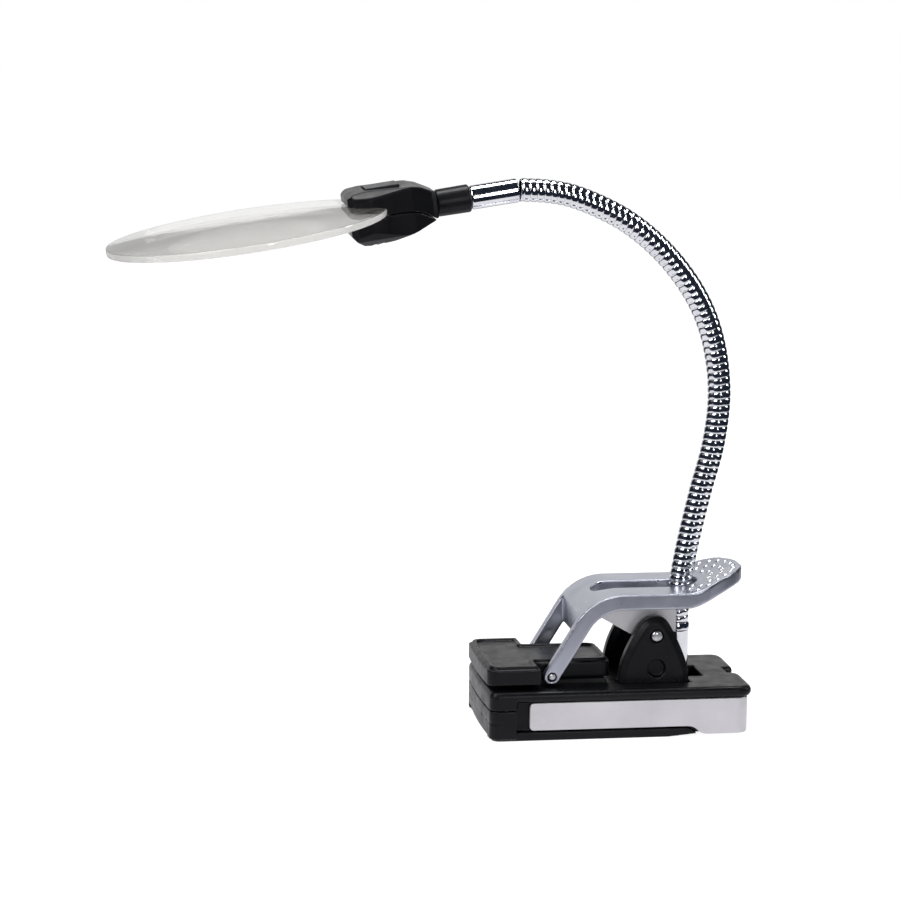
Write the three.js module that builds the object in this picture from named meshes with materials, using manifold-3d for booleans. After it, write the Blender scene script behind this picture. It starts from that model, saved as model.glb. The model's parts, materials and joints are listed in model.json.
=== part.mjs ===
// A clip-on reading lamp: a battery base with a sprung clamp on top, a ribbed bending neck, and a small
// head that carries a rimless magnifying lens with two LEDs beneath it.
// Millimetres, +Z up, +X towards the thumb end of the clamp. The origin is on the base's underside,
// directly below the clamp's pivot pin.
import * as THREE from 'three';
import { mergeVertices } from 'three/addons/utils/BufferGeometryUtils.js';
import Module from 'manifold-3d';

const wasm = await Module();
wasm.setup();

// ---------- driving dimensions ----------
const GAP = 0.3; // clearance between neighbouring pieces

const FRONT_X = -52.9; // foremost point of the base
const REAR_X = 28.8;
const HALF_WIDTH = 22;
const FRONT_BULGE = 1; // how far the front edge bows out
const TOP_Z = 15.2;
const PLATE_T = 3.4; // thickness of the top cover's round-edged plate
const PLATE_ROUND = 1.6;
const SEAM_Z = 9.3; // where the two shells meet at the nose
const NOSE_END_X = -44.5;
const RECESS_X = -40.3; // the silver band starts here, behind a short recess
const BAND_TOP_Z = 11.6;

const CELL_D = 10.5; // AAA cell
const CELL_L = 44.5;
const CELL_PITCH = 11;
const CELL_Z = 7.9;
const BAY = { x0: -48.9, x1: -1.6, halfWidth: 16.6 };
const DOOR = { x1: -1.9, halfWidth: 16.9, z0: 0.3, z1: 2.1 };

const PIVOT_Z = 29.7; // the clamp's pivot, above the origin
const PIN_D = 3.6;
const EAR_FOOT = { x0: -11.4, x1: 10.7 };
const EAR_Y = 14.2; // outer face of each pivot bracket
const EAR_T = 5.2;

const LEVER_HALF = 16.5;
const LEVER_TOP_Z = 43.3;
const LEVER_T = 4.8;
const LEVER_BEND_R = 17;
const ARM_ANGLE = THREE.MathUtils.degToRad(58.5);
const ARM_CORNER_X = -20.4; // where the lines of the flat top and of the arms would meet
const ARM_T = 3.2;
const ARM_PIN = { x: -32.8, z: 18.4 };
const THUMB_X = 9; // the thumb pad starts to rise here
const THUMB_RISE = 6;
const THUMB_THINNING = 0.3;
const LEVER_TIP_R = 16.5;
const LEVER_TIP_X = 12.5;
const SLOT = { x0: -18, x1: 15.4, half: 5.4 };

const JAW = { x0: -53.2, neckX: -36.8, x1: -13.7, half: 20.1, rearHalf: 11.4, z0: 16.9, z1: 22.6 };
const PAD = { x0: -48, x1: -15, half: 11 };

const NECK_D = 7.2;
const NECK_X = 9.3; // where the neck leaves the base
const FERRULE_TOP_Z = 31.2;
const HEAD_START = { x: -42.4, z: 164.6 };
const HEAD_TILT = THREE.MathUtils.degToRad(9);
const HEAD_ROLL = THREE.MathUtils.degToRad(2);

const LENS_D = 84;
const LENS_EDGE = 2.1;
const LENS_R = 290; // radius of both faces
const LENS_CENTRE = { s: 82.3, w: 1.1 }; // along and above the head's axis

// ---------- materials ----------
const finish = (color, roughness, metalness) =>
  new THREE.MeshStandardMaterial({ color, roughness, metalness });
const BLACK = finish(0x17181b, 0.42, 0);
const RUBBER = finish(0x202022, 0.85, 0);
const SATIN = finish(0x9a9da4, 0.4, 0.9);
const SILVER = finish(0xc9c8cc, 0.35, 0.6);
const CHROME = finish(0xd8d9dc, 0.12, 1);
const STEEL = finish(0xb0b2b5, 0.3, 1);
const BRASS = finish(0xb79a55, 0.35, 1);
const BOARD = finish(0x1f5b35, 0.5, 0);
const CELL = finish(0x3d4652, 0.4, 0.3);
const CLEAR = new THREE.MeshStandardMaterial({
  color: 0xf2f6f7, roughness: 0.05, metalness: 0, transparent: true, opacity: 0.35,
});

// ---------- solids ----------
function solid(geometry) {
  const bare = geometry.clone();
  bare.deleteAttribute('normal');
  bare.deleteAttribute('uv');
  const merged = mergeVertices(bare, 1e-4);
  return new wasm.Manifold(new wasm.Mesh({
    numProp: 3,
    vertProperties: Float32Array.from(merged.attributes.position.array),
    triVerts: Uint32Array.from(merged.index.array),
  }));
}

function geometryOf(body) {
  const mesh = body.getMesh();
  const geometry = new THREE.BufferGeometry();
  geometry.setAttribute('position', new THREE.BufferAttribute(Float32Array.from(mesh.vertProperties), 3));
  geometry.setIndex(new THREE.BufferAttribute(Uint32Array.from(mesh.triVerts), 1));
  return geometry;
}

const join = (...bodies) => bodies.reduce((a, b) => a.add(b));
const cut = (body, ...tools) => tools.reduce((a, b) => a.subtract(b), body);

function box(x0, x1, y0, y1, z0, z1) {
  const geometry = new THREE.BoxGeometry(x1 - x0, y1 - y0, z1 - z0);
  geometry.translate((x0 + x1) / 2, (y0 + y1) / 2, (z0 + z1) / 2);
  return solid(geometry);
}

// A plan outline, drawn in X and Y, between two heights.
function upright(shape, z0, z1, curveSegments = 10) {
  const geometry = new THREE.ExtrudeGeometry(shape, { depth: z1 - z0, bevelEnabled: false, curveSegments });
  geometry.translate(0, 0, z0);
  return solid(geometry);
}

// A side outline, drawn in X and Z, between two places across the width.
function sideways(shape, y0, y1, curveSegments = 10) {
  const geometry = new THREE.ExtrudeGeometry(shape, { depth: y1 - y0, bevelEnabled: false, curveSegments });
  geometry.rotateX(Math.PI / 2);
  geometry.translate(0, y1, 0);
  return solid(geometry);
}

const polygon = (points) => new THREE.Shape(points.map(([x, y]) => new THREE.Vector2(x, y)));

// A turned piece: [radius, height] pairs from the axis back to the axis.
function turned(profile, sides = 24) {
  return new THREE.LatheGeometry(profile.map(([r, h]) => new THREE.Vector2(r, h)), sides);
}

const turnedUp = (profile, x, y, sides) => solid(turned(profile, sides).rotateX(Math.PI / 2).translate(x, y, 0));
const turnedAcross = (profile, x, z, sides) => solid(turned(profile, sides).translate(x, 0, z));
const rod = (r, h0, h1) => [[0, h0], [r, h0], [r, h1], [0, h1]];

const group = new THREE.Group();
const head = new THREE.Group();
head.position.set(HEAD_START.x, 0, HEAD_START.z);
head.rotation.set(HEAD_ROLL, -HEAD_TILT, 0, 'YXZ');
group.add(head);

function piece(name, body, material, parent = group) {
  const mesh = new THREE.Mesh(body.isBufferGeometry ? body : geometryOf(body), material);
  mesh.name = name;
  parent.add(mesh);
}

// ---------- base ----------
// The base's plan: a bowed front edge, rounded corners, and two lobes with a notch between them behind.
function basePlan(inset) {
  const front = FRONT_X + FRONT_BULGE + inset;
  const rear = REAR_X - inset;
  const side = HALF_WIDTH - inset;
  const cornerFront = 2.2;
  const cornerRear = 4.5;
  const notchHalf = 3 + inset;
  const notch = rear - 3;
  const shape = new THREE.Shape();
  shape.moveTo(front + cornerFront, -side);
  shape.lineTo(rear - cornerRear, -side);
  shape.quadraticCurveTo(rear, -side, rear, -side + cornerRear);
  shape.lineTo(rear, -notchHalf - 3);
  shape.quadraticCurveTo(rear, -notchHalf, notch, -notchHalf + 0.6);
  shape.lineTo(notch, notchHalf - 0.6);
  shape.quadraticCurveTo(rear, notchHalf, rear, notchHalf + 3);
  shape.lineTo(rear, side - cornerRear);
  shape.quadraticCurveTo(rear, side, rear - cornerRear, side);
  shape.lineTo(front + cornerFront, side);
  shape.quadraticCurveTo(front, side, front - 0.6, side - cornerFront);
  shape.quadraticCurveTo(front - 2 * FRONT_BULGE, 0, front - 0.6, -side + cornerFront);
  shape.quadraticCurveTo(front, -side, front + cornerFront, -side);
  return shape;
}

function roundEdgedPlate(shape, z0, z1, round) {
  const geometry = new THREE.ExtrudeGeometry(shape, {
    depth: z1 - z0 - 2 * round,
    bevelThickness: round,
    bevelSize: round,
    bevelOffset: -round,
    bevelSegments: 4,
    curveSegments: 8,
  });
  geometry.translate(0, 0, z0 + round);
  return solid(geometry);
}

// The ears' feet, the neck opening and the rubber pad all sink into the top cover.
const NECK_OPENING = { x0: 1.6, x1: 16.6, half: 6.8 };
const SCREWS = [[-47.2, -19.1], [-47.2, 19.1], [20, -15.2], [20, 15.2]];

function topCover() {
  const plate = roundEdgedPlate(basePlan(0), TOP_Z - PLATE_T, TOP_Z, PLATE_ROUND);
  const nose = upright(basePlan(0), SEAM_Z + GAP, TOP_Z - PLATE_ROUND)
    .intersect(box(FRONT_X - 1, NOSE_END_X, -30, 30, 0, 20));
  const hollow = box(BAY.x0 - 0.1, 24.2, -17, 17, 0, TOP_Z - 1.9);
  const opening = box(NECK_OPENING.x0, NECK_OPENING.x1, -NECK_OPENING.half, NECK_OPENING.half, 5, 20);
  const padPocket = box(PAD.x0 - GAP, PAD.x1 + GAP, -PAD.half - GAP, PAD.half + GAP, TOP_Z - 0.9, 20);
  const earPockets = [-1, 1].map((side) => {
    const y = side * (EAR_Y - EAR_T / 2);
    const half = EAR_T / 2 + GAP;
    return box(EAR_FOOT.x0 - GAP, EAR_FOOT.x1 + GAP, y - half, y + half, TOP_Z - 0.9, 20);
  });
  const bosses = SCREWS.slice(2).map(([x, y]) => turnedUp(rod(2.1, 9.3, TOP_Z - 1), x, y, 16));
  const holes = SCREWS.map(([x, y]) => turnedUp(rod(1.25, 5, TOP_Z - 1.6), x, y, 12));
  const body = join(cut(join(plate, nose), hollow), ...bosses);
  return cut(body, opening, padPocket, ...earPockets, ...holes);
}

function bottomShell() {
  const flange = upright(basePlan(0.8), 0, 2.6).intersect(sideways(polygon([
    [FRONT_X, 0], [3, 0], [11.5, 0.8], [8, 2.7], [FRONT_X, 2.7],
  ]), -30, 30));
  const tub = cut(upright(basePlan(2.7), 0, BAND_TOP_Z), box(3, 40, -30, 30, -1, 0.8));
  const nose = upright(basePlan(0), 0.7, SEAM_Z).intersect(box(FRONT_X - 1, NOSE_END_X, -30, 30, -1, 20));
  const noseTop = box(FRONT_X - 1, NOSE_END_X + GAP, -30, 30, SEAM_Z, 20);
  const grooveRing = cut(upright(basePlan(-1), 5.4, 6), upright(basePlan(0.7), 3, 8))
    .intersect(box(FRONT_X - 2, -47, -30, 30, 0, 10));
  const bay = box(BAY.x0, BAY.x1, -BAY.halfWidth, BAY.halfWidth, 2, 20);
  const doorway = box(FRONT_X - 5, DOOR.x1 + GAP, -DOOR.halfWidth - GAP, DOOR.halfWidth + GAP, -1, DOOR.z1 + GAP);
  const rearRoom = box(1.4, 23, -17.6, 17.6, 2.2, 20);
  const wireGate = box(-3, 3, 13, 15.5, 5, 20);
  const posts = SCREWS.slice(2).map(([x, y]) => turnedUp(rod(2.3, 1.5, 9), x, y, 16));
  const holes = SCREWS.map(([x, y]) => turnedUp(rod(1.35, -1, 12), x, y, 12));
  const headSinks = SCREWS.map(([x, y]) => turnedUp(rod(1.8, -1, 2.4), x, y, 16));
  const body = join(cut(join(flange, tub, nose), noseTop, grooveRing, bay, rearRoom), ...posts);
  return cut(body, doorway, wireGate, ...holes, ...headSinks);
}

function sideBand() {
  const ring = cut(upright(basePlan(0.9), 0, BAND_TOP_Z), upright(basePlan(2.3), -1, 20));
  const outline = new THREE.Shape();
  outline.moveTo(RECESS_X, 9.6);
  outline.quadraticCurveTo(RECESS_X, BAND_TOP_Z, RECESS_X + 1.5, BAND_TOP_Z);
  outline.lineTo(REAR_X + 1, BAND_TOP_Z);
  outline.lineTo(REAR_X + 1, 0.5);
  outline.lineTo(14.5, 0.5);
  outline.bezierCurveTo(11.5, 0.6, 12, 3, 8.5, 3.05);
  outline.lineTo(RECESS_X + 1.5, 3.05);
  outline.quadraticCurveTo(RECESS_X, 3.05, RECESS_X, 4.6);
  return ring.intersect(sideways(outline, -30, 30));
}

function batteryDoor() {
  const plate = upright(basePlan(0.8), DOOR.z0, DOOR.z1)
    .intersect(box(FRONT_X, DOOR.x1, -DOOR.halfWidth, DOOR.halfWidth, 0, 5));
  const grips = [-46, -44, -42].map((x) => box(x, x + 0.9, -6, 6, 0, DOOR.z0 + 0.5));
  return cut(plate, ...grips);
}

piece('base_top_cover', topCover(), BLACK);
piece('base_bottom_shell', bottomShell(), BLACK);
piece('side_band', sideBand(), SILVER);
piece('battery_door', batteryDoor(), BLACK);

[-1, 0, 1].forEach((row, i) => {
  const direction = row === 0 ? -1 : 1; // neighbouring cells face opposite ways
  const profile = [
    [0, -CELL_L / 2], [CELL_D / 2 - 0.4, -CELL_L / 2], [CELL_D / 2, -CELL_L / 2 + 0.4],
    [CELL_D / 2, CELL_L / 2 - 1.4], [CELL_D / 2 - 0.5, CELL_L / 2 - 0.9], [1.9, CELL_L / 2 - 0.9],
    [1.9, CELL_L / 2], [0, CELL_L / 2],
  ];
  const geometry = turned(profile, 20).rotateZ((direction * -Math.PI) / 2);
  geometry.translate((BAY.x0 + BAY.x1) / 2, row * CELL_PITCH, CELL_Z);
  piece(`battery_cell_${i + 1}`, solid(geometry), CELL);
});
piece('contact_plate_front', box(BAY.x0 + 0.15, BAY.x0 + 0.65, -15.5, 15.5, 3.2, 12), STEEL);
piece('contact_plate_rear', box(BAY.x1 - 0.65, BAY.x1 - 0.15, -15.5, 12.4, 3.2, 12), STEEL);
piece('base_circuit_board', box(2.4, 22, 8.6, 12.2, 4.2, 5.4), BOARD);

SCREWS.forEach(([x, y], i) => {
  const screw = [[0, 0.7], [1.5, 0.7], [1.5, 2.1], [1, 2.1], [1, 12.6], [0, 13.2]];
  const driveSlot = box(x - 1.1, x + 1.1, y - 0.25, y + 0.25, 0, 1.2);
  piece(`base_screw_${i + 1}`, cut(turnedUp(screw, x, y, 16), driveSlot), STEEL);
});
piece('base_pad', box(PAD.x0, PAD.x1, -PAD.half, PAD.half, TOP_Z - 0.6, 16.2), RUBBER);

// ---------- clamp ----------
// An arch with broad chamfers that widens to its foot, with a round blind recess below the pivot.
function pivotBracket(side) {
  const foot = TOP_Z - 3;
  const outline = new THREE.Shape();
  outline.moveTo(EAR_FOOT.x0, foot);
  outline.lineTo(EAR_FOOT.x0 + 0.2, 18.2);
  outline.bezierCurveTo(-10.6, 23, -8.4, 27.5, -5.3, 32.4);
  outline.bezierCurveTo(-3.2, 35.9, 1.8, 37.3, 4.1, 33.2);
  outline.bezierCurveTo(6.3, 29.4, 9.6, 22.6, 10.3, 18.2);
  outline.lineTo(EAR_FOOT.x1, foot);
  const chamfer = { across: 1.9, deep: 1.2 };
  const geometry = new THREE.ExtrudeGeometry(outline, {
    depth: EAR_T - 2 * chamfer.deep, bevelThickness: chamfer.deep, bevelSize: chamfer.across,
    bevelOffset: -chamfer.across, bevelSegments: 1, curveSegments: 8,
  });
  geometry.translate(0, 0, chamfer.deep);
  geometry.rotateX(Math.PI / 2);
  const trimmed = solid(geometry).intersect(box(-20, 20, -EAR_T - 1, 1, TOP_Z - 0.6, 50));
  const slab = trimmed.translate([0, -EAR_Y + EAR_T, 0]);
  const pinHole = turnedAcross(rod(PIN_D / 2 + GAP, -30, 30), 0, PIVOT_Z, 20);
  const recess = turnedAcross(rod(2.8, -EAR_Y - 1, -EAR_Y + 2), 0.1, 19.6, 20);
  const near = cut(slab, pinHole, recess);
  return side < 0 ? near : near.mirror([0, 1, 0]);
}
piece('pivot_bracket_near', pivotBracket(-1), BLACK);
piece('pivot_bracket_far', pivotBracket(1), BLACK);

const pinEnd = EAR_Y + 0.6;
piece('pivot_pin', turnedAcross([
  [0, -pinEnd], [PIN_D / 2 - 0.5, -pinEnd + 0.1], [PIN_D / 2, -pinEnd + 0.6],
  [PIN_D / 2, pinEnd - 0.6], [PIN_D / 2 - 0.5, pinEnd - 0.1], [0, pinEnd],
], 0, PIVOT_Z, 20), STEEL);

// A coil round the pin, one leg on the base and one up under the lever.
function torsionSpring() {
  const coilR = 3.2;
  const turns = 7;
  const pitch = 1.75;
  const steps = turns * 12;
  const half = (turns * pitch) / 2;
  const points = [new THREE.Vector3(-9.5, -half, 16.6), new THREE.Vector3(-6.4, -half, 20.4)];
  for (let i = 0; i <= steps; i += 1) {
    const angle = -Math.PI / 2 - 0.5 + (i / steps) * (turns * 2 * Math.PI + Math.PI + 0.6);
    points.push(new THREE.Vector3(
      coilR * Math.cos(angle), -half + (i / steps) * 2 * half, PIVOT_Z - coilR * Math.sin(-angle),
    ));
  }
  points.push(new THREE.Vector3(-6.4, half, PIVOT_Z + coilR + 1.2));
  points.push(new THREE.Vector3(-12.5, half, PIVOT_Z + coilR + 3));
  const path = new THREE.CatmullRomCurve3(points);
  const wire = new THREE.Shape();
  wire.absarc(0, 0, 0.55, 0, 2 * Math.PI, false);
  return new THREE.ExtrudeGeometry(wire, { steps: steps + 12, curveSegments: 3, extrudePath: path });
}
piece('torsion_spring', torsionSpring(), STEEL);

const ease = (t) => {
  const c = Math.min(Math.max(t, 0), 1);
  return c * c * (3 - 2 * c);
};
const leverTop = (x, y) => LEVER_TOP_Z + THUMB_RISE * ease((x - THUMB_X) / 21)
  + 1.2 * (y / LEVER_TIP_R) ** 2 * ease((x - THUMB_X) / 11);
const leverBottom = (x, y) => leverTop(x, y) - LEVER_T + THUMB_THINNING * ease((x - LEVER_TIP_X) / 14);
const leverHalf = (x) => (x < LEVER_TIP_X ? LEVER_HALF
  : Math.sqrt(Math.max(LEVER_TIP_R ** 2 - (x - LEVER_TIP_X) ** 2, 0)));

// A slab between two height functions, over stations along X with a half-width at each.
function slab(stations, halfWidth, top, bottom, across) {
  const rows = stations.length;
  const columns = across + 1;
  const positions = [];
  const index = [];
  const at = (i, j, level) => (level * rows + i) * columns + j;
  [top, bottom].forEach((height) => {
    stations.forEach((x) => {
      for (let j = 0; j < columns; j += 1) {
        const y = halfWidth(x) * ((2 * j) / across - 1);
        positions.push(x, y, height(x, y));
      }
    });
  });
  const quad = (a, b, c, d) => index.push(a, b, c, a, c, d);
  for (let i = 0; i < rows - 1; i += 1) {
    for (let j = 0; j < across; j += 1) {
      quad(at(i, j, 0), at(i + 1, j, 0), at(i + 1, j + 1, 0), at(i, j + 1, 0));
      quad(at(i, j, 1), at(i, j + 1, 1), at(i + 1, j + 1, 1), at(i + 1, j, 1));
    }
    quad(at(i, 0, 0), at(i, 0, 1), at(i + 1, 0, 1), at(i + 1, 0, 0));
    quad(at(i, across, 0), at(i + 1, across, 0), at(i + 1, across, 1), at(i, across, 1));
  }
  for (let j = 0; j < across; j += 1) {
    quad(at(0, j, 0), at(0, j + 1, 0), at(0, j + 1, 1), at(0, j, 1));
    quad(at(rows - 1, j, 0), at(rows - 1, j, 1), at(rows - 1, j + 1, 1), at(rows - 1, j + 1, 0));
  }
  const geometry = new THREE.BufferGeometry();
  geometry.setAttribute('position', new THREE.Float32BufferAttribute(positions, 3));
  geometry.setIndex(index);
  return solid(geometry);
}

// The side view of the bend and of the two arms, which end in round eyes.
function leverArms() {
  const tangent = LEVER_BEND_R * Math.tan(ARM_ANGLE / 2);
  const bendX = ARM_CORNER_X + tangent;
  const centreZ = LEVER_TOP_Z - LEVER_BEND_R;
  const along = new THREE.Vector2(-Math.cos(ARM_ANGLE), -Math.sin(ARM_ANGLE));
  const corner = new THREE.Vector2(ARM_CORNER_X, LEVER_TOP_Z);
  const armLength = 28.7;
  const end = corner.clone().addScaledVector(along, armLength);
  const inner = end.clone().add(new THREE.Vector2(-along.y, along.x).multiplyScalar(LEVER_T));
  const outline = new THREE.Shape();
  outline.moveTo(bendX + 1, LEVER_TOP_Z);
  outline.lineTo(bendX, LEVER_TOP_Z);
  outline.absarc(bendX, centreZ, LEVER_BEND_R, Math.PI / 2, Math.PI / 2 + ARM_ANGLE, false);
  outline.lineTo(end.x, end.y);
  outline.lineTo(inner.x, inner.y);
  outline.absarc(bendX, centreZ, LEVER_BEND_R - LEVER_T, Math.PI / 2 + ARM_ANGLE, Math.PI / 2, true);
  outline.lineTo(bendX + 1, LEVER_TOP_Z - LEVER_T);
  const strip = sideways(outline, -LEVER_HALF, LEVER_HALF);
  const eye = turnedAcross(rod(2.5, -LEVER_HALF, LEVER_HALF), ARM_PIN.x, ARM_PIN.z, 24);
  const inside = LEVER_HALF - ARM_T;
  const window = box(-60, -23.9, -inside, inside, 0, 39.6);
  return cut(join(strip, eye), window);
}

function slotSolid() {
  const { x0, x1, half } = SLOT;
  const shape = new THREE.Shape();
  shape.absarc(x0 + half, 0, half, Math.PI / 2, (3 * Math.PI) / 2, false);
  shape.absarc(x1 - half, 0, half, -Math.PI / 2, Math.PI / 2, false);
  return upright(shape, 30, 60);
}

function clampLever() {
  const bendX = ARM_CORNER_X + LEVER_BEND_R * Math.tan(ARM_ANGLE / 2);
  const stations = [bendX, -4, 3, THUMB_X, 10.8];
  const tipSteps = 9;
  for (let k = 0; k <= tipSteps; k += 1) {
    stations.push(LEVER_TIP_X + 0.5 + (LEVER_TIP_R - 0.8) * Math.sin(((k / tipSteps) * Math.PI) / 2));
  }
  const top = slab(stations, leverHalf, leverTop, leverBottom, 12);
  const eyeHole = turnedAcross(rod(1.35, -20, 20), ARM_PIN.x, ARM_PIN.z, 16);
  return cut(join(top, leverArms()), slotSolid(), eyeHole);
}
piece('clamp_lever', clampLever(), SATIN);

const WEB_Y = EAR_Y - EAR_T - GAP; // outer face of each web
// A folded bracket under the lever: two side webs that hang on the pivot pin, and a bridge.
function pivotYoke() {
  const top = LEVER_TOP_Z - LEVER_T - GAP;
  const outline = new THREE.Shape();
  outline.moveTo(-10, top);
  outline.lineTo(-16.6, top - 2.6);
  outline.lineTo(-16.2, top - 3.6);
  outline.lineTo(-4, PIVOT_Z - 2);
  outline.absarc(0, PIVOT_Z, 4, Math.PI + 0.55, 2 * Math.PI - 0.3, false);
  outline.lineTo(7, PIVOT_Z + 0.5);
  outline.lineTo(7, top);
  const webs = [[-WEB_Y, -WEB_Y + 1.5], [WEB_Y - 1.5, WEB_Y]].map(([y0, y1]) => sideways(outline, y0, y1));
  const bridge = box(-10, -5, -WEB_Y + 1, WEB_Y - 1, top - 1.5, top);
  const hole = turnedAcross(rod(PIN_D / 2 + GAP, -20, 20), 0, PIVOT_Z, 20);
  return cut(join(...webs, bridge), hole);
}
piece('pivot_yoke', pivotYoke(), SILVER);

const JAW_BULGE = 0.8;
function jawPlan(inset) {
  const { neckX, x1, half, rearHalf } = JAW;
  const front = JAW.x0 + JAW_BULGE + inset;
  const side = half - inset;
  const rear = rearHalf - inset;
  const shape = new THREE.Shape();
  shape.moveTo(front + 2.5, -side);
  shape.lineTo(neckX - inset, -side);
  shape.lineTo(neckX - inset, -rear - 1.5);
  shape.quadraticCurveTo(neckX - inset, -rear, neckX - inset + 1.5, -rear);
  shape.lineTo(x1 - inset - 3, -rear);
  shape.quadraticCurveTo(x1 - inset, -rear, x1 - inset, -rear + 3);
  shape.lineTo(x1 - inset, rear - 3);
  shape.quadraticCurveTo(x1 - inset, rear, x1 - inset - 3, rear);
  shape.lineTo(neckX - inset + 1.5, rear);
  shape.quadraticCurveTo(neckX - inset, rear, neckX - inset, rear + 1.5);
  shape.lineTo(neckX - inset, side);
  shape.lineTo(front + 2.5, side);
  shape.quadraticCurveTo(front, side, front - 0.6, side - 2.5);
  shape.quadraticCurveTo(front - 2 * JAW_BULGE, 0, front - 0.6, -side + 2.5);
  shape.quadraticCurveTo(front, -side, front + 2.5, -side);
  return shape;
}

const JAW_PAD = { x0: -50, x1: -38.6, half: 17 };
function jawPlate() {
  const lower = upright(jawPlan(0), JAW.z0, JAW.z1 - 1, 8);
  const upper = upright(jawPlan(0.9), JAW.z1 - 1.2, JAW.z1, 8);
  const sunkTop = upright(jawPlan(2.1), JAW.z1 - 0.7, JAW.z1 + 5, 8);
  const pocket = box(
    JAW_PAD.x0 - GAP, JAW_PAD.x1 + GAP, -JAW_PAD.half - GAP, JAW_PAD.half + GAP, 0, JAW.z0 + 1.3,
  );
  const pins = turnedAcross(rod(1.35, -20, 20), ARM_PIN.x, ARM_PIN.z, 16);
  return cut(join(lower, upper), sunkTop, pocket, pins);
}
piece('jaw_plate', jawPlate(), BLACK);
piece('jaw_pad', box(JAW_PAD.x0, JAW_PAD.x1, -JAW_PAD.half, JAW_PAD.half, 16.5, JAW.z0 + 1), RUBBER);

[['jaw_pin_near', -1], ['jaw_pin_far', 1]].forEach(([name, side]) => {
  const profile = [[0, 7], [1, 7], [1, 16.6], [1.1, 16.9], [0.7, 17.2], [0, 17.2]];
  const pin = turnedAcross(profile, ARM_PIN.x, ARM_PIN.z, 14);
  piece(name, side > 0 ? pin : pin.mirror([0, 1, 0]), STEEL);
});

// ---------- neck ----------
piece('neck_ferrule', turnedUp([
  [0, 6.4], [3.1, 6.4], [3.1, 10.6], [3.7, 10.6], [3.7, 28.6], [4, 28.9], [4, 30.2], [3.7, FERRULE_TOP_Z],
  [0, FERRULE_TOP_Z],
], NECK_X, 0, 24), CHROME);
const nutPlan = new THREE.Shape();
for (let k = 0; k < 6; k += 1) {
  const angle = (k * Math.PI) / 3;
  const method = k === 0 ? 'moveTo' : 'lineTo';
  nutPlan[method](NECK_X + 6 * Math.cos(angle), 6 * Math.sin(angle));
}
const nutHole = turnedUp(rod(3.4, 0, 20), NECK_X, 0, 24);
piece('neck_nut', cut(upright(nutPlan, 6.6, 10.3), nutHole), STEEL);

const neckLine = new THREE.CatmullRomCurve3([
  [NECK_X, FERRULE_TOP_Z + GAP], [9.7, 38], [11.1, 50], [15.3, 70], [19.6, 87.5], [20.9, 103.5],
  [18.3, 119.8], [13.1, 132.1], [3.3, 145], [-9.4, 155.4], [-24.9, 162.5], [-33.3, 164.2],
  [HEAD_START.x + 0.5, HEAD_START.z + 0.08],
].map(([x, z]) => new THREE.Vector3(x, 0, z)), false, 'centripetal');

// The neck bends between its segments: each ends in a dome, and the next starts with a cup over it.
const NECK_JOINTS = [0.17, 0.35, 0.53, 0.72]; // as fractions of the neck's length
const DOME_R = NECK_D / 2 - 0.3;
const CUP_R = DOME_R + GAP;
const CUP_START = 2; // how far beyond the joint the next segment starts

class NeckStretch extends THREE.Curve {
  constructor(from, to) {
    super();
    this.from = from;
    this.to = to;
  }

  getPoint(t, target = new THREE.Vector3()) {
    return target.copy(neckLine.getPointAt(this.from + (this.to - this.from) * t));
  }
}

function neckSegment(from, to, cupped, domed) {
  const length = neckLine.getLength();
  const start = cupped ? from + CUP_START / length : from;
  const section = new THREE.Shape();
  section.absarc(0, 0, NECK_D / 2, 0, 2 * Math.PI, false);
  const steps = Math.round(((to - start) * length) / 4);
  const tube = new THREE.ExtrudeGeometry(section, {
    steps, curveSegments: 9, extrudePath: new NeckStretch(start, to),
  });
  let body = solid(tube);
  if (domed) {
    const end = neckLine.getPointAt(to);
    body = body.add(solid(new THREE.SphereGeometry(DOME_R, 18, 10).translate(end.x, 0, end.z)));
  }
  if (cupped) {
    const joint = neckLine.getPointAt(from);
    body = body.subtract(solid(new THREE.SphereGeometry(CUP_R, 18, 10).translate(joint.x, 0, joint.z)));
  }
  return body;
}

const NECK_NAMES = ['neck_segment_1', 'neck_segment_2', 'neck_segment_3', 'neck_segment_4', 'neck_segment_5'];
NECK_NAMES.forEach((name, i) => {
  const from = i === 0 ? 0 : NECK_JOINTS[i - 1];
  const to = i < NECK_JOINTS.length ? NECK_JOINTS[i] : 1;
  piece(name, neckSegment(from, to, i > 0, i < NECK_JOINTS.length), CHROME);
});

// ---------- head ----------
// In the head's group the neck's axis is X, running towards -X: a place s along it is at x = -s.
const turnedAlong = (profile, sides) => solid(turned(profile, sides).rotateZ(Math.PI / 2));

piece('head_ferrule', turnedAlong([
  [0, GAP], [3.5, GAP], [3.7, 0.8], [3.7, 14.2], [3.5, 14.7], [0, 14.7],
], 24), CHROME, head);
piece('head_sleeve', turnedAlong([
  [0, 15], [3.9, 15], [4.25, 15.5], [4.15, 24.6], [3.9, 25.2], [0, 25.2],
], 24), BLACK, head);

// Plan of the head: narrow at the sleeve and wide where it takes the lens.
const headPlan = polygon([
  [-25.5, -5.5], [-25.5, 5.5], [-27, 7], [-33, 9.6], [-46, 11.8], [-50.5, 11], [-52.4, 8.5],
  [-52.4, -8.5], [-50.5, -11], [-46, -11.8], [-33, -9.6], [-27, -7],
]);
// End view of the head: a flat top with long chamfers, and a rounded keel.
const headEnd = [
  [-12.5, -3.2], [-10.2, -6.6], [-6.5, -8.7], [6.5, -8.7], [10.2, -6.6], [12.5, -3.2],
  [12.5, 4.6], [11.2, 6.2], [8.6, 7.9], [-8.6, 7.9], [-11.2, 6.2], [-12.5, 4.6],
];
// The shells meet on a line that arches up from the sleeve to the lens.
const PARTING = [[-26.4, -3.9], [-28.5, -2.4], [-31, -0.9], [-33.5, -0.2], [-37, 0.2], [-40, 0.2]];
const partingAt = (offset) => PARTING.map(([x, w]) => [x, w + offset]);

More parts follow.
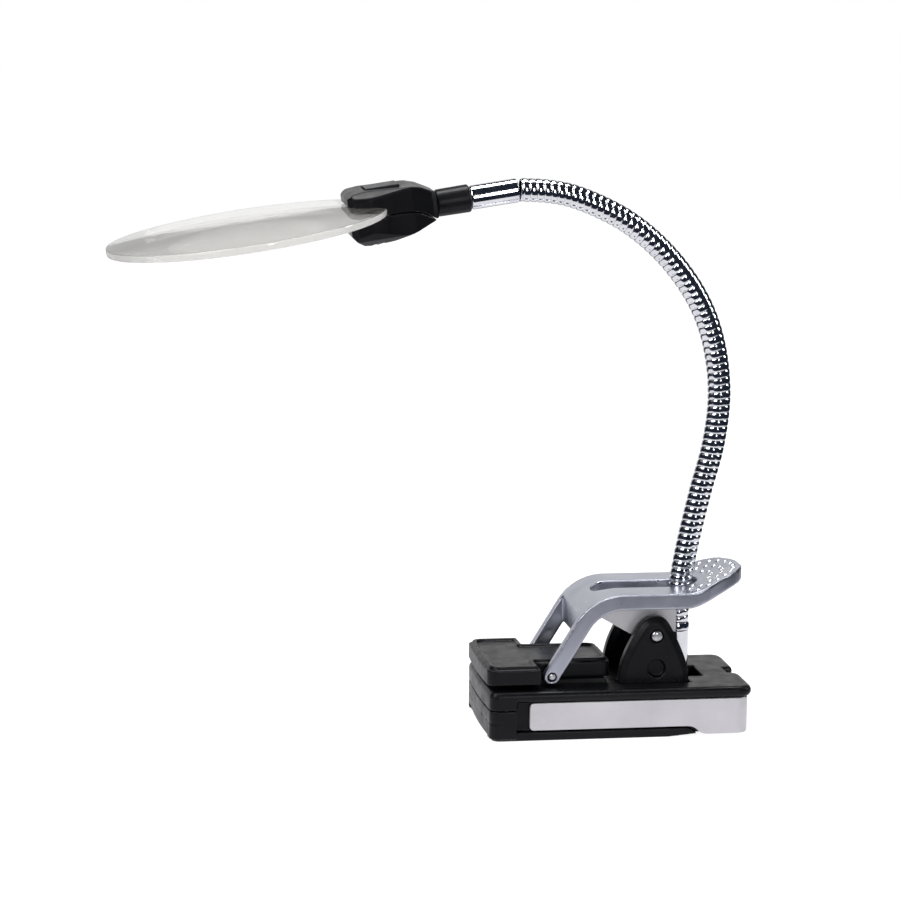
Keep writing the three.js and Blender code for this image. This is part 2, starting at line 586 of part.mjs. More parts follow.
function headBlank(sideOutline) {
  const plan = upright(headPlan, -20, 20);
  const side = sideways(polygon(sideOutline), -20, 20);
  const endGeometry = new THREE.ExtrudeGeometry(polygon(headEnd), { depth: 60, bevelEnabled: false });
  endGeometry.rotateX(Math.PI / 2).rotateZ(-Math.PI / 2);
  return plan.intersect(side).intersect(solid(endGeometry));
}

// A biconvex disc: a profile that runs from the lowest point on the axis to the highest.
function lensDisc(margin) {
  const radius = LENS_D / 2;
  const rings = 8;
  const sag = (r) => Math.sqrt(LENS_R ** 2 - r ** 2) - Math.sqrt(LENS_R ** 2 - radius ** 2);
  const half = [];
  for (let k = 0; k <= rings; k += 1) {
    const r = (radius * k) / rings;
    half.push([k === rings ? r + margin : r, LENS_EDGE / 2 + sag(r) + margin]);
  }
  const profile = [...half.map(([r, h]) => [r, -h]), ...half.reverse()];
  return turnedUp(profile, -LENS_CENTRE.s, 0, 64).translate([0, 0, LENS_CENTRE.w]);
}

function upperShell() {
  const blank = headBlank([
    [-25.5, -3.75], ...partingAt(GAP / 2), [-50, 0.35], [-53.2, 3.4], [-53.2, 4.6], [-52.4, 6.3],
    [-50.6, 7.5], [-47, 7.9], [-33, 7.3], [-30, 6.5], [-27, 4.9], [-25.5, 4.1],
  ]);
  const hollow = box(-47, -36.5, -6.4, 6.4, 3.9, 6.2);
  const buttonWell = box(-46.3, -35.7, -5.3, 5.3, 3.9, 12);
  const screwHoles = [-1, 1].map((side) => turnedUp(rod(1, -1, 4.9), -32, side * 4.6, 12));
  return cut(blank, lensDisc(GAP), hollow, buttonWell, ...screwHoles);
}

const LED_Y = 4.6;
const LED_X = -44.5;
function lowerShell() {
  const blank = headBlank([
    [-26.6, -4.15], [-32.8, -6.3], [-39.6, -8.1], [-46, -8.7], [-49, -8.3], [-51.2, -6.6], [-53, -4.3],
    [-52.4, -2.6], [-48, -0.15], ...partingAt(-GAP / 2).reverse(),
  ]);
  const hollow = box(-47.5, -36, -7.4, 7.4, -6.2, -1.5);
  const mouth = box(-46, -36.2, -6, 6, -2, 1);
  const ledHoles = [-1, 1].map((side) => turnedUp(rod(2.8, -20, -5.8), LED_X, side * LED_Y, 16));
  const screwHoles = [-1, 1].map((side) => turnedUp(rod(1.3, -12, 1), -32, side * 4.6, 12));
  const headSinks = [-1, 1].map((side) => turnedUp(rod(2.1, -12, -4.3), -32, side * 4.6, 12));
  return cut(blank, lensDisc(GAP), hollow, mouth, ...ledHoles, ...screwHoles, ...headSinks);
}
piece('head_upper_shell', upperShell(), BLACK, head);
piece('head_lower_shell', lowerShell(), BLACK, head);
piece('push_button', box(-46, -36, -5, 5, 6, 8.2), BLACK, head);
piece('switch_body', box(-44, -38, -3.4, 3.4, 4.1, 5), STEEL, head);
piece('led_board', box(-47.1, -37.2, -7, 7, -3, -1.8), BOARD, head);
[['led_near', -1], ['led_far', 1]].forEach(([name, side]) => {
  const profile = [[0, -8.9], [1.5, -8.5], [2.3, -7.6], [2.5, -6.6], [2.5, -4.3], [2.7, -4.3], [2.7, -3.3],
    [0, -3.3]];
  piece(name, turnedUp(profile, LED_X, side * LED_Y, 16), CLEAR, head);
});
[-1, 1].forEach((side, i) => {
  const profile = [[0, -5.7], [1.8, -5.7], [1.8, -4.6], [0.8, -4.6], [0.8, 4], [0, 4.4]];
  piece(`head_screw_${i + 1}`, turnedUp(profile, -32, side * 4.6, 14), STEEL, head);
});

piece('lens', lensDisc(0), CLEAR, head);

export default group;
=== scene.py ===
"""Looks for the clip-on reading lamp: a battery base with a sprung clamp, a ribbed neck, and a lens."""
import json
import math

import bmesh
import bpy
import numpy as np
from mathutils import Matrix, Vector


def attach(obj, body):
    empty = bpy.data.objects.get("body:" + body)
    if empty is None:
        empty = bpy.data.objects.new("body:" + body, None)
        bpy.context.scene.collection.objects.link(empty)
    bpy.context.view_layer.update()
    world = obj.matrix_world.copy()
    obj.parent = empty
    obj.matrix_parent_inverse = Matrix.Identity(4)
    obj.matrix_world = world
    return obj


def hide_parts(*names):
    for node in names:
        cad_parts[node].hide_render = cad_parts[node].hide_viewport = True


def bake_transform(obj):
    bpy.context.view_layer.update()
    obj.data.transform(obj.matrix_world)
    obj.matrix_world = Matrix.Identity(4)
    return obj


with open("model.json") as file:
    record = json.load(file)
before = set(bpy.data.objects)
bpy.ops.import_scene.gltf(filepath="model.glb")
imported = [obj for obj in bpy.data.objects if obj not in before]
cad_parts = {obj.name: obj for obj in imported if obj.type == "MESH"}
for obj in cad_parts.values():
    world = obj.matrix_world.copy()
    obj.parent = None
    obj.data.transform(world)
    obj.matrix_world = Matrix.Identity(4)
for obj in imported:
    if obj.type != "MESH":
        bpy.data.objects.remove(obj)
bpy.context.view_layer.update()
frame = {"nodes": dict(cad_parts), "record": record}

MM = 0.001
scene = bpy.context.scene
NODES = frame["nodes"]
BODY_OF = {n: b for b, ns in frame["record"]["behaviour"]["bodies"].items() for n in ns}
SLOT_OF = {s["node"]: s["material_slot"] for s in frame["record"]["subparts"]}

WHITE = (1, 1, 1)
FILL_SHADE = (0.34, 0.35, 0.37)
ROOM_SHADE = (0.012, 0.016, 0.028)
BACKDROP_SHADE = (0.8, 0.8, 0.8)
BACKDROP_FROM = 0.72
BACKDROP_TO = 0.86
FLOOR_GLOW = 0.9


# ---------- camera, light and floor ----------
def make_camera():
    azimuth, elevation, roll = (math.radians(a) for a in (-8.75, 9.4, -0.6))
    target = Vector((-62.3, 0, 85.9)) * MM
    distance = 864 * MM
    right = Vector((math.cos(azimuth), math.sin(azimuth), 0))
    back = Vector((math.sin(azimuth) * math.cos(elevation), -math.cos(azimuth) * math.cos(elevation),
                   math.sin(elevation)))
    up = back.cross(right)
    tilted_right = right * math.cos(roll) - up * math.sin(roll)
    tilted_up = up * math.cos(roll) + right * math.sin(roll)
    data = bpy.data.cameras.new("camera")
    data.sensor_width = 36
    data.lens = 114
    data.clip_start = 0.01
    camera = bpy.data.objects.new("camera", data)
    scene.collection.objects.link(camera)
    turn = Matrix((tilted_right, tilted_up, back)).transposed().to_4x4()
    camera.matrix_world = Matrix.Translation(target + back * distance) @ turn
    scene.camera = camera


def area_light(name, place, aim, size, power):
    data = bpy.data.lights.new(name, "AREA")
    data.shape = "RECTANGLE"
    data.size, data.size_y = size
    data.energy = power
    light = bpy.data.objects.new(name, data)
    scene.collection.objects.link(light)
    light.location = place
    light.rotation_euler = (Vector(aim) - Vector(place)).to_track_quat("-Z", "Y").to_euler()
    light.visible_camera = False


def make_world():
    """White to the eye and through the lens, and soft grey for fill.

    Reflections show a dark room with a pale backdrop on the far side.
    """
    world = bpy.data.worlds.new("studio")
    scene.world = world
    world.use_nodes = True
    nodes, links = world.node_tree.nodes, world.node_tree.links
    path = nodes.new("ShaderNodeLightPath")
    split = nodes.new("ShaderNodeSeparateXYZ")
    links.new(nodes.new("ShaderNodeTexCoord").outputs["Generated"], split.inputs["Vector"])
    behind = nodes.new("ShaderNodeMapRange")
    behind.interpolation_type = "SMOOTHSTEP"
    behind.inputs["From Min"].default_value = BACKDROP_FROM
    behind.inputs["From Max"].default_value = BACKDROP_TO
    links.new(split.outputs["Y"], behind.inputs["Value"])
    masks = ((behind.outputs["Result"], BACKDROP_SHADE), (path.outputs["Is Diffuse Ray"], FILL_SHADE),
             (path.outputs["Is Camera Ray"], WHITE), (path.outputs["Is Transmission Ray"], WHITE))
    colour = None
    for mask, shade in masks:
        mix = nodes.new("ShaderNodeMix")
        mix.data_type = "RGBA"
        mix.inputs["A"].default_value = (*ROOM_SHADE, 1)
        mix.inputs["B"].default_value = (*shade, 1)
        links.new(mask, mix.inputs["Factor"])
        if colour is not None:
            links.new(colour, mix.inputs["A"])
        colour = mix.outputs["Result"]
    links.new(colour, nodes["Background"].inputs["Color"])


def glowing(name, shade, strength, size, place, aim):
    """A card that only reflections show."""
    half_x, half_y = size[0] / 2, size[1] / 2
    mesh = bpy.data.meshes.new(name)
    mesh.from_pydata([(-half_x, -half_y, 0), (half_x, -half_y, 0), (half_x, half_y, 0), (-half_x, half_y, 0)],
                     [], [(0, 1, 2, 3)])
    card = bpy.data.objects.new(name, mesh)
    scene.collection.objects.link(card)
    card.location = place
    card.rotation_euler = (Vector(aim) - Vector(place)).to_track_quat("-Z", "Y").to_euler()
    material = bpy.data.materials.new(name)
    material.use_nodes = True
    shader = material.node_tree.nodes["Principled BSDF"]
    shader.inputs["Base Color"].default_value = (0, 0, 0, 1)
    shader.inputs["Specular IOR Level"].default_value = 0
    shader.inputs["Emission Color"].default_value = (*shade, 1)
    shader.inputs["Emission Strength"].default_value = strength
    mesh.materials.append(material)
    card.visible_camera = card.visible_diffuse = card.visible_transmission = card.visible_shadow = False


def make_floor():
    """A pale floor that glows, so that it blends into the white behind it."""
    half = 6
    corners = [(-half, -half, 0), (half, -half, 0), (half, half, 0), (-half, half, 0)]
    mesh = bpy.data.meshes.new("floor")
    mesh.from_pydata(corners, [], [(0, 1, 2, 3)])
    floor = bpy.data.objects.new("floor", mesh)
    floor.location.z = -0.1 * MM
    scene.collection.objects.link(floor)
    material = bpy.data.materials.new("floor")
    material.use_nodes = True
    shader = material.node_tree.nodes["Principled BSDF"]
    shader.inputs["Base Color"].default_value = (0.3, 0.3, 0.3, 1)
    shader.inputs["Roughness"].default_value = 0.9
    shader.inputs["Specular IOR Level"].default_value = 0
    shader.inputs["Emission Color"].default_value = (1, 1, 1, 1)
    shader.inputs["Emission Strength"].default_value = FLOOR_GLOW
    mesh.materials.append(material)
    floor.visible_glossy = False


def set_stage():
    make_camera()
    make_world()
    make_floor()
    glowing("table_card", (0.93, 0.92, 0.96), 0.95, (0.62, 0.32), (-0.12, 0, -0.002), (-0.12, 0, -1))
    area_light("key", (-0.75, -0.55, 0.75), (-0.05, 0, 0.08), (0.5, 0.7), 8)
    area_light("top", (-0.1, 0.15, 1.1), (-0.05, 0, 0.08), (0.9, 0.35), 11)
    area_light("front", (0.15, -1.2, 0.35), (-0.02, 0, 0.08), (0.12, 0.5), 2)
    area_light("rim", (0.8, -0.1, 0.55), (0, 0, 0.08), (0.15, 0.6), 2.5)
    scene.view_settings.view_transform = "Standard"


# ---------- materials ----------
NOISE_LOW = 0.3  # noise below this counts as none
NOISE_HIGH = 0.7  # and above this as full
THIN_TINT = (0.78, 0.765, 0.74)


class Paint:
    """A Principled material and the short chains of nodes that give it a fine surface."""

    def __init__(self, name, colour, metallic, roughness, **fixed):
        self.material = bpy.data.materials.new(name)
        self.material.use_nodes = True
        self.nodes = self.material.node_tree.nodes
        self.links = self.material.node_tree.links
        self.shader = self.nodes["Principled BSDF"]
        self.shader.inputs["Base Color"].default_value = (*colour, 1)
        self.shader.inputs["Metallic"].default_value = metallic
        self.shader.inputs["Roughness"].default_value = roughness
        for key, value in fixed.items():
            self.shader.inputs[key.replace("_", " ")].default_value = value
        self.coords = self.nodes.new("ShaderNodeTexCoord").outputs["Object"]
        self.colour_out = None

    def noise(self, scale, detail=3.0, stretch=(1, 1, 1)):
        mapping = self.nodes.new("ShaderNodeMapping")
        mapping.inputs["Scale"].default_value = stretch
        self.links.new(self.coords, mapping.inputs["Vector"])
        texture = self.nodes.new("ShaderNodeTexNoise")
        texture.inputs["Scale"].default_value = scale
        texture.inputs["Detail"].default_value = detail
        self.links.new(mapping.outputs["Vector"], texture.inputs["Vector"])
        return texture.outputs["Fac"]

    def ramp(self, value, low, high):
        node = self.nodes.new("ShaderNodeMapRange")
        node.inputs["From Min"].default_value = NOISE_LOW
        node.inputs["From Max"].default_value = NOISE_HIGH
        node.inputs["To Min"].default_value = low
        node.inputs["To Max"].default_value = high
        self.links.new(value, node.inputs["Value"])
        return node.outputs["Result"]

    def vary_roughness(self, scale, low, high):
        self.links.new(self.ramp(self.noise(scale, 4), low, high), self.shader.inputs["Roughness"])
        return self

    def vary_colour(self, scale, dark, light):
        mix = self.nodes.new("ShaderNodeMix")
        mix.data_type = "RGBA"
        mix.inputs["A"].default_value = (*dark, 1)
        mix.inputs["B"].default_value = (*light, 1)
        self.links.new(self.ramp(self.noise(scale, 4), 0, 1), mix.inputs["Factor"])
        self.colour_out = mix.outputs["Result"]
        self.links.new(self.colour_out, self.shader.inputs["Base Color"])
        return self

    def wear(self, edge_colour, amount=0.6, dull=0.515, sharpest=0.62, patch=0.2):
        """Edges that hands rub turn a little lighter."""
        geometry = self.nodes.new("ShaderNodeNewGeometry")
        edge = self.nodes.new("ShaderNodeMapRange")
        edge.inputs["From Min"].default_value = dull
        edge.inputs["From Max"].default_value = sharpest
        edge.inputs["To Max"].default_value = amount
        self.links.new(geometry.outputs["Pointiness"], edge.inputs["Value"])
        patchy = self.nodes.new("ShaderNodeMath")
        patchy.operation = "MULTIPLY"
        self.links.new(edge.outputs["Result"], patchy.inputs[0])
        self.links.new(self.ramp(self.noise(900), patch, 1), patchy.inputs[1])
        mix = self.nodes.new("ShaderNodeMix")
        mix.data_type = "RGBA"
        mix.inputs["B"].default_value = (*edge_colour, 1)
        self.links.new(patchy.outputs["Value"], mix.inputs["Factor"])
        self.links.new(self.colour_out, mix.inputs["A"])
        self.links.new(mix.outputs["Result"], self.shader.inputs["Base Color"])
        return self

    def bump(self, scale, strength, distance, stretch=(1, 1, 1)):
        node = self.nodes.new("ShaderNodeBump")
        node.inputs["Strength"].default_value = strength
        node.inputs["Distance"].default_value = distance
        self.links.new(self.noise(scale, stretch=stretch), node.inputs["Height"])
        self.links.new(node.outputs["Normal"], self.shader.inputs["Normal"])
        return self

    def thin(self, share):
        """Part of the light goes straight through."""
        output = self.nodes["Material Output"]
        straight = self.nodes.new("ShaderNodeBsdfTransparent")
        straight.inputs["Color"].default_value = (*THIN_TINT, 1)
        mix = self.nodes.new("ShaderNodeMixShader")
        mix.inputs["Fac"].default_value = share
        self.links.new(self.shader.outputs["BSDF"], mix.inputs[1])
        self.links.new(straight.outputs["BSDF"], mix.inputs[2])
        self.links.new(mix.outputs["Shader"], output.inputs["Surface"])
        return self


def make_paints():
    paints = {}
    black = Paint("black_plastic", (0.004, 0.004, 0.005), 0, 0.33, Specular_IOR_Level=0.22, IOR=1.45)
    black.vary_colour(60, (0.002, 0.002, 0.003), (0.005, 0.005, 0.0065)).wear((0.03, 0.03, 0.035), 0.5)
    black.vary_roughness(250, 0.26, 0.4).bump(5200, 0.25, 0.00004)
    paints["black_plastic"] = black
    rubber = Paint("rubber", (0.02, 0.02, 0.021), 0, 0.8, Specular_IOR_Level=0.3)
    rubber.vary_colour(300, (0.014, 0.014, 0.015), (0.028, 0.028, 0.029))
    rubber.vary_roughness(600, 0.7, 0.9).bump(3500, 0.5, 0.0001)
    paints["rubber"] = rubber
    satin = Paint("satin_metal", (0.5, 0.52, 0.58), 1, 0.28)
    satin.vary_colour(90, (0.44, 0.46, 0.53), (0.54, 0.56, 0.63))
    satin.wear((0.92, 0.93, 0.96), 0.3, 0.6, 0.75, 0.8)
    satin.vary_roughness(300, 0.27, 0.34).bump(2500, 0.05, 0.00001)
    paints["satin_metal"] = satin
    silver = Paint("silver_plate", (0.6, 0.59, 0.61), 0.75, 0.4)
    silver.vary_colour(70, (0.56, 0.55, 0.57), (0.66, 0.65, 0.67)).wear((0.8, 0.8, 0.82), 0.4)
    silver.vary_roughness(500, 0.33, 0.47).bump(5000, 0.2, 0.00003)
    paints["silver_plate"] = silver
    chrome = Paint("chrome", (0.82, 0.83, 0.85), 1, 0.07)
    chrome.vary_colour(120, (0.76, 0.77, 0.8), (0.86, 0.87, 0.89))
    chrome.vary_roughness(800, 0.07, 0.16).bump(900, 0.05, 0.00002)
    paints["chrome"] = chrome
    steel = Paint("steel", (0.55, 0.56, 0.57), 1, 0.3)
    steel.vary_colour(400, (0.45, 0.46, 0.47), (0.62, 0.63, 0.64)).wear((0.8, 0.8, 0.8), 0.5)
    steel.vary_roughness(900, 0.22, 0.4).bump(3000, 0.15, 0.00003, (1, 6, 1))
    paints["steel"] = steel
    board = Paint("circuit_board", (0.02, 0.11, 0.05), 0, 0.35)
    board.vary_colour(900, (0.014, 0.08, 0.035), (0.03, 0.14, 0.06)).vary_roughness(500, 0.25, 0.45)
    board.bump(2500, 0.3, 0.00005)
    paints["circuit_board"] = board
    cell = Paint("cell_jacket", (0.06, 0.08, 0.11), 0.3, 0.3)
    cell.vary_colour(200, (0.05, 0.07, 0.1), (0.08, 0.1, 0.13)).vary_roughness(300, 0.22, 0.38)
    cell.bump(1500, 0.1, 0.00002)
    paints["cell_jacket"] = cell
    clear = Paint("clear_acrylic", (0.89, 0.892, 0.88), 0, 0.01, Transmission_Weight=1.0, IOR=1.49)
    clear.vary_roughness(40, 0.0, 0.03).bump(18, 0.02, 0.00005).thin(0.22)
    paints["clear_acrylic"] = clear
    epoxy = Paint("led_epoxy", (0.95, 0.96, 0.93), 0, 0.05, Transmission_Weight=0.9, IOR=1.54)
    epoxy.vary_roughness(600, 0.03, 0.12).bump(800, 0.1, 0.00003)
    paints["led_epoxy"] = epoxy
    return {name: paint.material for name, paint in paints.items()}


set_stage()
PAINTS = make_paints()


def paint(obj, slot):
    """Gives obj the finish of a material slot."""
    obj.data.materials.clear()
    obj.data.materials.append(PAINTS[slot])


# ---------- making pieces ----------
def add_piece(name, mesh, slot, *stands_for):
    """A named object with a finish, standing for some CAD nodes."""
    mesh.name = name
    obj = bpy.data.objects.new(name, mesh)
    scene.collection.objects.link(obj)
    paint(obj, slot)
    if stands_for:
        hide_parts(*stands_for)
    return obj


def mesh_of(points, faces, sharp=180):
    """A smooth mesh from points in mm, with a crease where faces meet at more than sharp degrees."""
    mesh = bpy.data.meshes.new("mesh")
    mesh.from_pydata([tuple(float(c) * MM for c in p) for p in points], [], faces)
    mesh.validate()
    mesh.shade_smooth()
    if sharp < 180:
        mesh.set_sharp_from_angle(angle=math.radians(sharp))
    return mesh


def grid_faces(rows, columns):
    """Quads of a grid whose columns close on themselves."""
    return [(r * columns + c, r * columns + (c + 1) % columns, (r + 1) * columns + (c + 1) % columns,
             (r + 1) * columns + c) for r in range(rows - 1) for c in range(columns)]


def lathe(profile, turn, steps, sharp):
    """Revolves (radius, height) pairs in mm about the z axis and puts the result in place with turn."""
    points = []
    for radius, height in profile:
        for k in range(steps):
            angle = 2 * math.pi * k / steps
            points.append(turn @ Vector((radius * math.cos(angle), radius * math.sin(angle), height)))
    rows = len(profile)
    faces = grid_faces(rows, steps)
    faces.append(tuple(range(steps))[::-1])
    faces.append(tuple((rows - 1) * steps + k for k in range(steps)))
    return mesh_of(points, faces, sharp)


JOIN_WITHIN = 0.002  # mm
FLAT_WITHIN = 0.6  # degrees
CORNER_ANGLE = 28  # degrees
BEVEL_SEGMENTS = 3
RUB_FACTOR = 0.5


def softened(node, width):
    """The node's mesh with its flat faces joined up and its edges rounded by width, in mm.

    A width of 0 leaves the edges creased.
    """
    mesh = NODES[node].data.copy()
    work = bmesh.new()
    work.from_mesh(mesh)
    bmesh.ops.remove_doubles(work, verts=work.verts, dist=JOIN_WITHIN * MM)
    bmesh.ops.dissolve_limit(work, angle_limit=math.radians(FLAT_WITHIN), verts=work.verts, edges=work.edges)
    work.to_mesh(mesh)
    work.free()
    holder = bpy.data.objects.new("holder", mesh)
    scene.collection.objects.link(holder)
    mesh.shade_smooth()
    if width:
        bevel = holder.modifiers.new("round", "BEVEL")
        bevel.width = width * MM
        bevel.segments = BEVEL_SEGMENTS
        bevel.limit_method = "ANGLE"
        bevel.angle_limit = math.radians(CORNER_ANGLE)
        bevel.use_clamp_overlap = True
    else:
        mesh.set_sharp_from_angle(angle=math.radians(CORNER_ANGLE))
    even = holder.modifiers.new("even", "WEIGHTED_NORMAL")
    even.keep_sharp = True
    graph = bpy.context.evaluated_depsgraph_get()
    rounded = bpy.data.meshes.new_from_object(holder.evaluated_get(graph))
    bpy.data.objects.remove(holder)
    bpy.data.meshes.remove(mesh)
    return rounded


def melted(node, cell, rounds):
    """The node's mesh as a fine even skin whose edges are rubbed round, for cast and moulded pieces."""
    holder = bpy.data.objects.new("holder", NODES[node].data.copy())
    scene.collection.objects.link(holder)
    skin = holder.modifiers.new("skin", "REMESH")
    skin.mode = "VOXEL"
    skin.voxel_size = cell * MM
    skin.use_smooth_shade = True
    rub = holder.modifiers.new("rub", "SMOOTH")
    rub.factor = RUB_FACTOR
    rub.iterations = rounds
    graph = bpy.context.evaluated_depsgraph_get()
    rounded = bpy.data.meshes.new_from_object(holder.evaluated_get(graph))
    bpy.data.objects.remove(holder)
    rounded.shade_smooth()
    return rounded


def melt(node, cell, rounds):
    """Shows the node as a moulded copy, on the same body."""
    obj = add_piece("cast_" + node, melted(node, cell, rounds), SLOT_OF[node], node)
    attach(obj, BODY_OF[node])


def soften(node, width):
    """Shows the node as a softened copy, on the same body."""
    obj = add_piece("soft_" + node, softened(node, width), SLOT_OF[node], node)
    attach(obj, BODY_OF[node])


def ease(t):
    """A smooth step from 0 to 1."""
    t = min(max(t, 0), 1)
    return t * t * (3 - 2 * t)


# ---------- the neck ----------
NECK_POINTS = [(9.3, 31.5), (9.7, 38), (11.1, 50), (15.3, 70), (19.6, 87.5), (20.9, 103.5), (18.3, 119.8),
               (13.1, 132.1), (3.3, 145), (-9.4, 155.4), (-24.9, 162.5), (-33.3, 164.2), (-41.9, 164.68)]
RIB_PITCH = 2.15
RIB_RADIUS = 3.6
RIB_DEPTH = 0.38
RIB_ROWS = 12
NECK_SIDES = 48
TANGENT_REACH = 0.4  # mm
NECK_PARTS = [  # name, start and end as shares of the length, body below and above, hinge, CAD nodes
    ("neck_hose_1", 0, 0.26, "base", "neck_2", 0.17, ("neck_segment_1", "neck_segment_2")),
    ("neck_hose_2", 0.26, 0.44, "neck_2", "neck_3", 0.35, ("neck_segment_3",)),
    ("neck_hose_3", 0.44, 0.625, "neck_3", "neck_4", 0.53, ("neck_segment_4",)),
    ("neck_hose_4", 0.625, 1, "neck_4", "neck_5", 0.72, ("neck_segment_5",)),
]


def neck_line(steps=60):
    """The centre line as many short steps: points in mm and the length up to each."""
    ends = [2 * np.array(NECK_POINTS[0]) - NECK_POINTS[1], 2 * np.array(NECK_POINTS[-1]) - NECK_POINTS[-2]]
    points = [ends[0], *map(np.array, NECK_POINTS), ends[1]]
    line = []
    for a, b, c, d in zip(points, points[1:], points[2:], points[3:]):
        gaps = [math.sqrt(np.linalg.norm(q - p)) for p, q in ((a, b), (b, c), (c, d))]
        t0, t1, t2, t3 = np.concatenate([[0], np.cumsum(gaps)])
        for k in range(steps):
            t = t1 + (t2 - t1) * k / steps
            ab = a + (b - a) * (t - t0) / (t1 - t0)
            bc = b + (c - b) * (t - t1) / (t2 - t1)
            cd = c + (d - c) * (t - t2) / (t3 - t2)
            abc = ab + (bc - ab) * (t - t0) / (t2 - t0)
            bcd = bc + (cd - bc) * (t - t1) / (t3 - t1)
            line.append(abc + (bcd - abc) * (t - t1) / (t2 - t1))
    line.append(np.array(NECK_POINTS[-1]))
    line = np.array(line)
    along = np.concatenate([[0], np.cumsum(np.linalg.norm(np.diff(line, axis=0), axis=1))])
    return line, along


def make_neck():
    """A wound hose in four lengths, each standing for its CAD neck segments and not attached to any body."""
    line, along = neck_line()
    length = along[-1]

    def at(s):
        s = min(max(s, 0), length)
        return np.array([np.interp(s, along, line[:, 0]), np.interp(s, along, line[:, 1])])

    def rib(row):
        """Height of a wound wire at this row: round on top, with a tight gap between turns."""
        across = 2 * (row % RIB_ROWS) / RIB_ROWS - 1
        return RIB_RADIUS - RIB_DEPTH * (0.25 * across ** 2 + 0.75 * across ** 8)

    turns = round(length / RIB_PITCH)
    pitch = length / turns
    for name, start, end, below, above, hinge, nodes in NECK_PARTS:
        first, last = round(start * turns), round(end * turns)
        if start == 0:
            first -= 1
        points, faces = [], []
        rows = range(first * RIB_ROWS, last * RIB_ROWS + 1)
        for row in rows:
            for k in range(NECK_SIDES):
                s = min(max((row / RIB_ROWS + k / NECK_SIDES) * pitch, 0), length)
                middle = at(s)
                along_line = at(s + TANGENT_REACH) - at(s - TANGENT_REACH)
                along_line /= np.linalg.norm(along_line)
                angle = 2 * math.pi * k / NECK_SIDES
                out = rib(row) * math.cos(angle)
                points.append((middle[0] + along_line[1] * out, rib(row) * math.sin(angle),
                               middle[1] - along_line[0] * out))
        for r in range(len(rows) - 1):
            for k in range(NECK_SIDES - 1):
                a = r * NECK_SIDES + k
                faces.append((a, a + 1, a + 1 + NECK_SIDES, a + NECK_SIDES))
            if r + RIB_ROWS + 1 < len(rows):
                a, b = r * NECK_SIDES + NECK_SIDES - 1, (r + RIB_ROWS) * NECK_SIDES
                faces.append((a, b, b + NECK_SIDES, a + NECK_SIDES))
        hose = add_piece(name, mesh_of(points, faces), "chrome", *nodes)
        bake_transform(hose)


# ---------- the head and its lens ----------
HEAD_TURN = (Matrix.Translation((-42.4, 0, 164.6)) @ Matrix.Rotation(math.radians(-9), 4, "Y")
             @ Matrix.Rotation(math.radians(2), 4, "X"))
LENS_CENTRE = (-82.3, 0, 1.1)
LENS_RADIUS = 42
LENS_CURVE = 290
LENS_EDGE = 2.1
LENS_RINGS = 24
LENS_SIDES = 160
LENS_CREASE = 60  # degrees
RIM_RADIUS = 0.35
RIM_DROP = 0.3


def make_lens():
    """A thin lens with two round faces and a small rounded rim."""
    def face(radius):
        flat = math.sqrt(LENS_CURVE ** 2 - LENS_RADIUS ** 2)
        return LENS_EDGE / 2 + math.sqrt(LENS_CURVE ** 2 - radius ** 2) - flat

    radii = [LENS_RADIUS * math.sin(math.pi / 2 * k / LENS_RINGS) for k in range(1, LENS_RINGS)]
    top = [(r, face(r)) for r in radii if r < LENS_RADIUS - 0.4]
    rim = []
    for degrees in (75, 50, 25, 0):
        a = math.radians(degrees)
        rim.append((LENS_RADIUS - RIM_RADIUS + RIM_RADIUS * math.cos(a),
                    LENS_EDGE / 2 - RIM_DROP + RIM_RADIUS * math.sin(a)))
    half = top + rim
    profile = half + [(r, -z) for r, z in reversed(half)]
    turn = HEAD_TURN @ Matrix.Translation(LENS_CENTRE)
    mesh = lathe([(r, -z) for r, z in profile], turn, LENS_SIDES, LENS_CREASE)
    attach(add_piece("lens_glass", mesh, "clear_acrylic", "lens"), "head")


# ---------- the lever's grip ----------
GRIP_CENTRE = 12.5
GRIP_RINGS = [(3.6, 8), (7.0, 14), (10.4, 20), (13.8, 26)]
DOT_RADIUS = 0.85
DOT_HEIGHT = 0.5
DOT_SUNK = 0.1
DOT_CLEARANCE = 1.2
SLOT_HALF = 5.4
SLOT_END = 16.5
GRIP_START = 10.5
LEVER_TOP_Z = 43.3
LEVER_HALF = 16.5
THUMB_X = 9
THUMB_RISE = 6
THUMB_RISE_LENGTH = 21
DISH = 1.2
DISH_LENGTH = 11


def lever_top(x, y):
    """Height of the lever's top face: flat, then curling up and dished at the thumb pad."""
    curl = THUMB_RISE * ease((x - THUMB_X) / THUMB_RISE_LENGTH)
    return LEVER_TOP_Z + curl + DISH * (y / LEVER_HALF) ** 2 * ease((x - THUMB_X) / DISH_LENGTH)


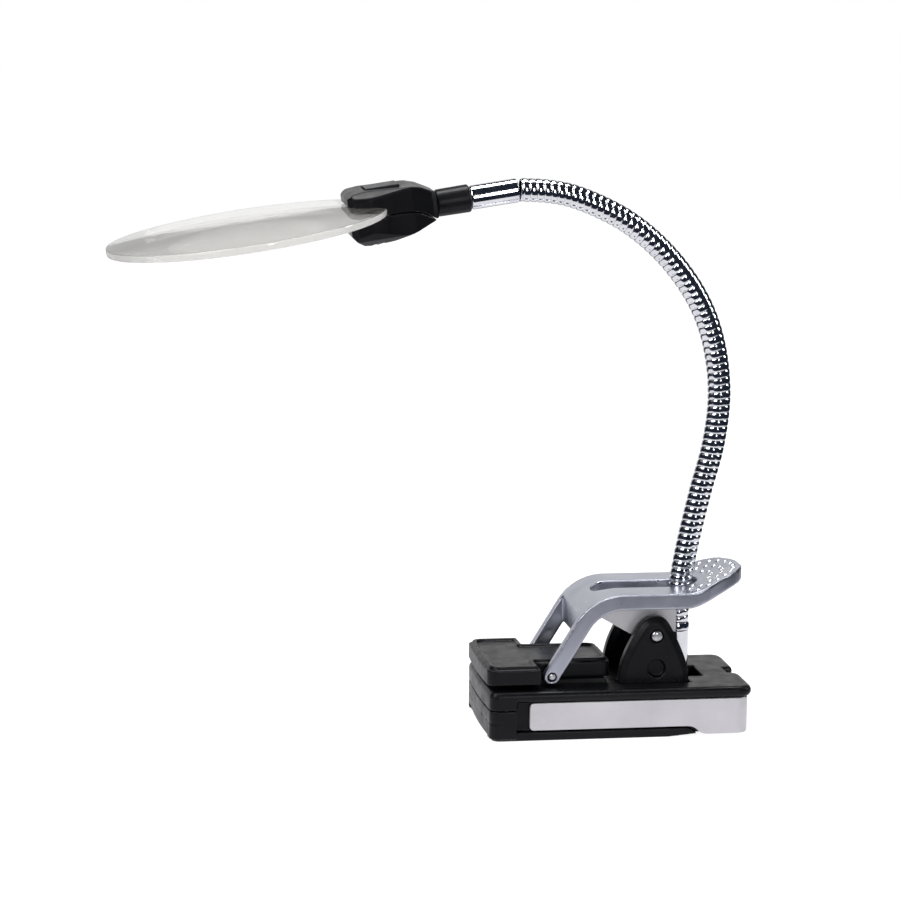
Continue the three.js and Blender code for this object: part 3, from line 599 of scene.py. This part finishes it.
def make_dots():
    """Rings of small polished domes on the thumb pad, with none over the slot."""
    rings, sides = 5, 16
    points, faces = [], []
    for radius, count in GRIP_RINGS:
        for k in range(count):
            angle = 2 * math.pi * (k + 0.5) / count
            x, y = GRIP_CENTRE + radius * math.cos(angle), radius * math.sin(angle)
            over_slot = x < SLOT_END and abs(y) < SLOT_HALF + DOT_CLEARANCE
            if x < GRIP_START or over_slot:
                continue
            slope = (lever_top(x + 0.1, y) - lever_top(x - 0.1, y)) / 0.2
            foot = lever_top(x, y) - DOT_SUNK
            first = len(points)
            for r in range(rings):
                lift = math.pi / 2 * r / rings
                for j in range(sides):
                    a = 2 * math.pi * j / sides
                    dx, dy = (DOT_RADIUS * math.cos(lift) * f(a) for f in (math.cos, math.sin))
                    points.append((x + dx, y + dy, foot + slope * dx + DOT_HEIGHT * math.sin(lift)))
            points.append((x, y, foot + DOT_HEIGHT))
            faces += [tuple(first + v for v in f) for f in grid_faces(rings, sides)]
            crown = first + (rings - 1) * sides
            faces += [(crown + j, crown + (j + 1) % sides, first + rings * sides) for j in range(sides)]
    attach(add_piece("grip_dots", mesh_of(points, faces), "chrome"), "lever")


# ---------- building ----------
for node_name, node in NODES.items():
    paint(node, SLOT_OF[node_name])

EDGE_WIDTH = {  # mm
    "side_band": 0.3, "battery_door": 0.25, "pivot_yoke": 0.25, "jaw_pad": 0.2, "base_pad": 0.2,
    "push_button": 0.25, "neck_ferrule": 0.15, "head_ferrule": 0.15, "head_sleeve": 0.25, "pivot_pin": 0.5,
    "jaw_pin_near": 0.2, "jaw_pin_far": 0.2, "torsion_spring": 0, "base_screw_1": 0.15, "base_screw_2": 0.15,
    "base_screw_3": 0.15, "base_screw_4": 0.15, "battery_cell_1": 0.3, "battery_cell_2": 0.3,
    "battery_cell_3": 0.3, "contact_plate_front": 0.08, "contact_plate_rear": 0.08,
    "base_circuit_board": 0.12,
    "neck_nut": 0.2, "switch_body": 0.12, "led_board": 0.12, "led_near": 0, "led_far": 0,
    "head_screw_1": 0.12, "head_screw_2": 0.12,
}
CAST = {  # size of the skin's cells in mm, and how many times it is rubbed
    "clamp_lever": (0.3, 9), "head_upper_shell": (0.22, 12), "head_lower_shell": (0.22, 10),
    "jaw_plate": (0.28, 4), "pivot_bracket_near": (0.25, 3), "pivot_bracket_far": (0.25, 3),
    "base_top_cover": (0.36, 2), "base_bottom_shell": (0.28, 1),
}
for node_name, (cell, rounds) in CAST.items():
    melt(node_name, cell, rounds)
for node_name, width in EDGE_WIDTH.items():
    soften(node_name, width)
make_neck()
make_lens()
make_dots()
